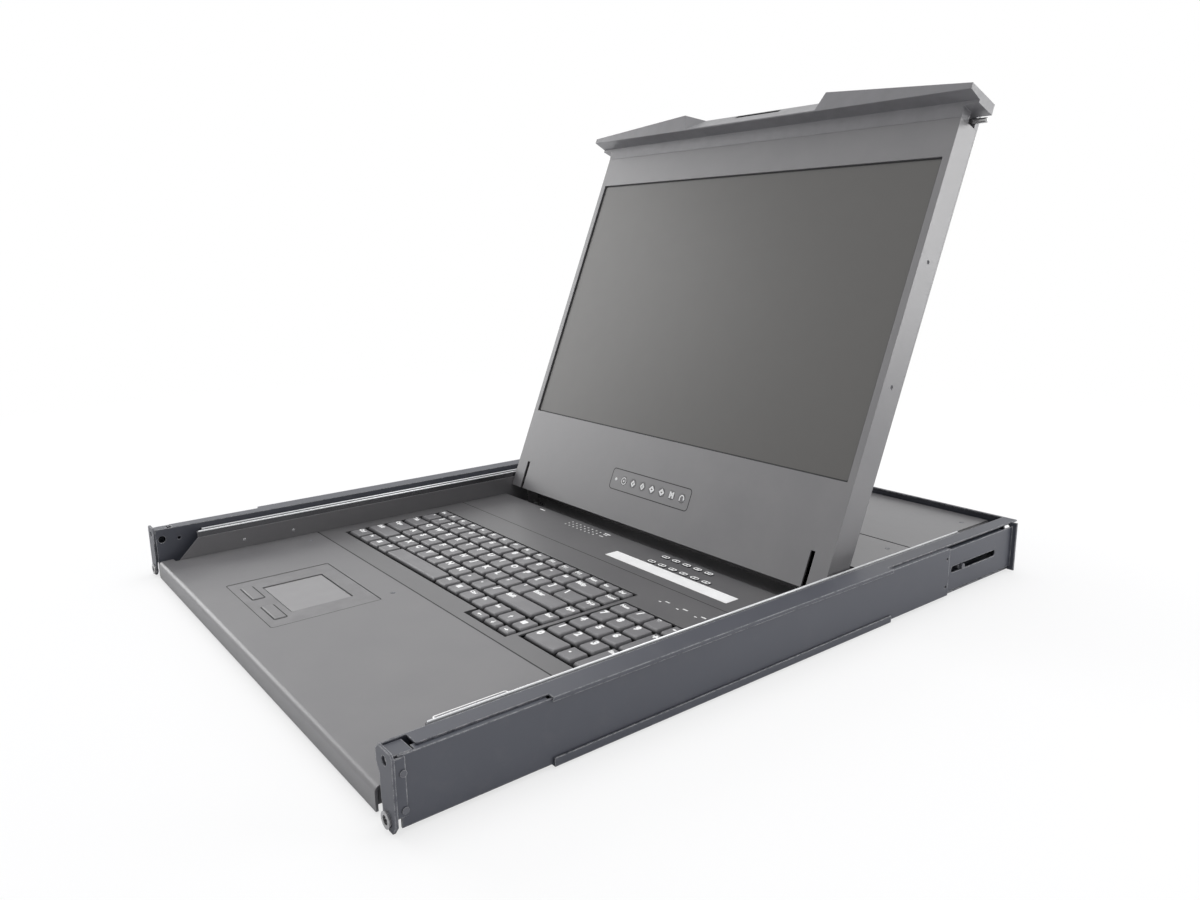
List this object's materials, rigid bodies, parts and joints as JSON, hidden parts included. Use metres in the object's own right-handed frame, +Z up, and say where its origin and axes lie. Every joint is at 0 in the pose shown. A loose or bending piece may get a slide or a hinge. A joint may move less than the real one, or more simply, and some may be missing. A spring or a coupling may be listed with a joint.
{
  "type": "rackmount display console drawer",
  "caption": "Rack console drawer on ball slides: tray with keyboard and touchpad, fold-up display with a front grip, adjustable side rails.",
  "frame": {"origin": "centre of the rack-hole rectangle, on the front faces of the two ears", "axes": "+X to the user's right, +Y back into the rack, +Z up"},
  "size_m": [0.4826, 0.5888, 0.4012],
  "materials": {
    "black_sheet": "fine black powder coat",
    "tray_sheet": "fine black powder coat",
    "zinc_screw": "bright zinc plate",
    "zinc_rivet": "zinc plate",
    "slide_steel": "zinc-plated rolled steel",
    "ball_steel": "polished steel",
    "pad_plastic": "moulded satin black",
    "pad_surface": "fine matt touch surface",
    "click_plastic": "satin black",
    "key_plastic": "matt black moulded",
    "key_bed": "matt black",
    "port_plastic": "translucent grey",
    "lamp_lens": "clear lens, unlit",
    "board_laminate": "solder-masked laminate",
    "bare_steel": "zinc plate",
    "supply_case": "folded, bare",
    "socket_shell": "moulded black insulator",
    "screen_glass": "clear, dark behind",
    "panel_frame": "dark display panel",
    "menu_plastic": "satin black",
    "grip_plastic": "fine-grained black moulding",
    "release_plastic": "satin black",
    "pin_steel": "bright steel"
  },
  "bodies": {
    "rails": {"rail_channel_right": "black_sheet", "rail_channel_left": "black_sheet", "front_ear_right": "black_sheet", "front_ear_left": "black_sheet", "outer_rail_right": "black_sheet", "outer_rail_left": "black_sheet", "slide_outer_right": "slide_steel", "slide_outer_left": "slide_steel", "rear_cross_wall": "black_sheet", "rack_bushes": "zinc_screw", "rail_fixings": "zinc_rivet"},
    "bracket_right": {"rear_bracket_right": "black_sheet"},
    "bracket_left": {"rear_bracket_left": "black_sheet"},
    "middle_right": {"slide_middle_right": "slide_steel"},
    "middle_left": {"slide_middle_left": "slide_steel"},
    "cage_outer_right": {"ball_cage_outer_right": "ball_steel"},
    "cage_outer_left": {"ball_cage_outer_left": "ball_steel"},
    "cage_inner_right": {"ball_cage_inner_right": "ball_steel"},
    "cage_inner_left": {"ball_cage_inner_left": "ball_steel"},
    "drawer": {"drawer_pan": "tray_sheet", "slide_inner_right": "slide_steel", "slide_inner_left": "slide_steel", "palm_rest": "tray_sheet", "touchpad_frame": "pad_plastic", "touchpad_sensor": "pad_surface", "keyboard_frame": "tray_sheet", "keyboard_base": "key_bed", "control_panel": "tray_sheet", "control_board": "board_laminate", "status_lamps": "lamp_lens", "deck_front": "tray_sheet", "deck_rear": "tray_sheet", "hinge_posts": "bare_steel", "main_board": "board_laminate", "power_supply": "supply_case", "rear_sockets": "socket_shell", "cover_screws": "zinc_screw"},
    "display": {"lid_shell": "tray_sheet", "lid_back_cover": "tray_sheet", "screen_glass": "screen_glass", "screen_module": "panel_frame", "menu_board": "board_laminate", "hinge_arms": "bare_steel", "lid_screws": "zinc_screw", "handle": "grip_plastic"},
    "release": {"release_slider": "release_plastic"},
    "pin_right": {"latch_pin_right": "pin_steel"},
    "pin_left": {"latch_pin_left": "pin_steel"},
    "menu_keys": {"menu_buttons": "menu_plastic"},
    "port_keys": {"port_buttons": "port_plastic"},
    "click_left": {"touch_button_left": "click_plastic"},
    "click_right": {"touch_button_right": "click_plastic"},
    "function_keys": {"keys_function_row": "key_plastic"},
    "number_keys": {"keys_number_row": "key_plastic"},
    "upper_keys": {"keys_upper_row": "key_plastic"},
    "home_keys": {"keys_home_row": "key_plastic"},
    "lower_keys": {"keys_lower_row": "key_plastic"},
    "bottom_keys": {"keys_bottom_row": "key_plastic"},
    "space_key": {"key_space": "key_plastic"},
    "pad_keys": {"keys_number_pad": "key_plastic"}
  },
  "joints": [
    {"name": "drawer_slide", "type": "slide", "parent": "rails", "child": "drawer", "axis": [0, -1, 0], "range_m": [0, 0.4]},
    {"name": "middle_slide_right", "type": "slide", "parent": "rails", "child": "middle_right", "axis": [0, -1, 0], "range_m": [0, 0.2]},
    {"name": "cage_outer_slide_right", "type": "slide", "parent": "rails", "child": "cage_outer_right", "axis": [0, -1, 0], "range_m": [0, 0.1]},
    {"name": "cage_inner_slide_right", "type": "slide", "parent": "rails", "child": "cage_inner_right", "axis": [0, -1, 0], "range_m": [0, 0.3]},
    {"name": "middle_slide_left", "type": "slide", "parent": "rails", "child": "middle_left", "axis": [0, -1, 0], "range_m": [0, 0.2]},
    {"name": "cage_outer_slide_left", "type": "slide", "parent": "rails", "child": "cage_outer_left", "axis": [0, -1, 0], "range_m": [0, 0.1]},
    {"name": "cage_inner_slide_left", "type": "slide", "parent": "rails", "child": "cage_inner_left", "axis": [0, -1, 0], "range_m": [0, 0.3]},
    {"name": "bracket_slide_right", "type": "slide", "parent": "rails", "child": "bracket_right", "axis": [0, 1, 0], "range_m": [-0.048, 0.0125]},
    {"name": "bracket_slide_left", "type": "slide", "parent": "rails", "child": "bracket_left", "axis": [0, 1, 0], "range_m": [-0.048, 0.0125]},
    {"name": "display_hinge", "type": "hinge", "parent": "drawer", "child": "display", "pos_m": [0, 0.372, 0.0076], "axis": [1, 0, 0], "range_deg": [-8, 112.3]},
    {"name": "release_slide", "type": "slide", "parent": "display", "child": "release", "axis": [1, 0, 0], "range_m": [-0.004, 0.003]},
    {"name": "latch_slide_right", "type": "slide", "parent": "display", "child": "pin_right", "axis": [1, 0, 0], "range_m": [-0.004, 0.003]},
    {"name": "latch_slide_left", "type": "slide", "parent": "display", "child": "pin_left", "axis": [-1, 0, 0], "range_m": [-0.004, 0.003]},
    {"name": "menu_press", "type": "slide", "parent": "display", "child": "menu_keys", "axis": [0, 0.9252, -0.3795], "range_m": [0, 0.0008], "stiffness_N_per_m": 900, "springref_m": -0.0005},
    {"name": "port_press", "type": "slide", "parent": "drawer", "child": "port_keys", "axis": [0, 0, -1], "range_m": [0, 0.0007], "stiffness_N_per_m": 1200, "springref_m": -0.0005},
    {"name": "click_press_left", "type": "slide", "parent": "drawer", "child": "click_left", "axis": [0, 0, -1], "range_m": [0, 0.001], "stiffness_N_per_m": 400, "springref_m": -0.0005},
    {"name": "click_press_right", "type": "slide", "parent": "drawer", "child": "click_right", "axis": [0, 0, -1], "range_m": [0, 0.001], "stiffness_N_per_m": 400, "springref_m": -0.0005},
    {"name": "function_press", "type": "slide", "parent": "drawer", "child": "function_keys", "axis": [0, 0, -1], "range_m": [0, 0.002], "stiffness_N_per_m": 1500, "springref_m": -0.001},
    {"name": "number_press", "type": "slide", "parent": "drawer", "child": "number_keys", "axis": [0, 0, -1], "range_m": [0, 0.002], "stiffness_N_per_m": 1500, "springref_m": -0.001},
    {"name": "upper_press", "type": "slide", "parent": "drawer", "child": "upper_keys", "axis": [0, 0, -1], "range_m": [0, 0.002], "stiffness_N_per_m": 1500, "springref_m": -0.001},
    {"name": "home_press", "type": "slide", "parent": "drawer", "child": "home_keys", "axis": [0, 0, -1], "range_m": [0, 0.002], "stiffness_N_per_m": 1500, "springref_m": -0.001},
    {"name": "lower_press", "type": "slide", "parent": "drawer", "child": "lower_keys", "axis": [0, 0, -1], "range_m": [0, 0.002], "stiffness_N_per_m": 1500, "springref_m": -0.001},
    {"name": "bottom_press", "type": "slide", "parent": "drawer", "child": "bottom_keys", "axis": [0, 0, -1], "range_m": [0, 0.002], "stiffness_N_per_m": 1500, "springref_m": -0.001},
    {"name": "space_press", "type": "slide", "parent": "drawer", "child": "space_key", "axis": [0, 0, -1], "range_m": [0, 0.002], "stiffness_N_per_m": 400, "springref_m": -0.001},
    {"name": "pad_press", "type": "slide", "parent": "drawer", "child": "pad_keys", "axis": [0, 0, -1], "range_m": [0, 0.002], "stiffness_N_per_m": 1500, "springref_m": -0.001}
  ],
  "couplings": [
    {"joint": "middle_slide_right", "follows": "drawer_slide", "ratio": 0.5},
    {"joint": "cage_outer_slide_right", "follows": "drawer_slide", "ratio": 0.25},
    {"joint": "cage_inner_slide_right", "follows": "drawer_slide", "ratio": 0.75},
    {"joint": "middle_slide_left", "follows": "drawer_slide", "ratio": 0.5},
    {"joint": "cage_outer_slide_left", "follows": "drawer_slide", "ratio": 0.25},
    {"joint": "cage_inner_slide_left", "follows": "drawer_slide", "ratio": 0.75},
    {"joint": "latch_slide_right", "follows": "release_slide", "ratio": 1},
    {"joint": "latch_slide_left", "follows": "release_slide", "ratio": 1}
  ]
}
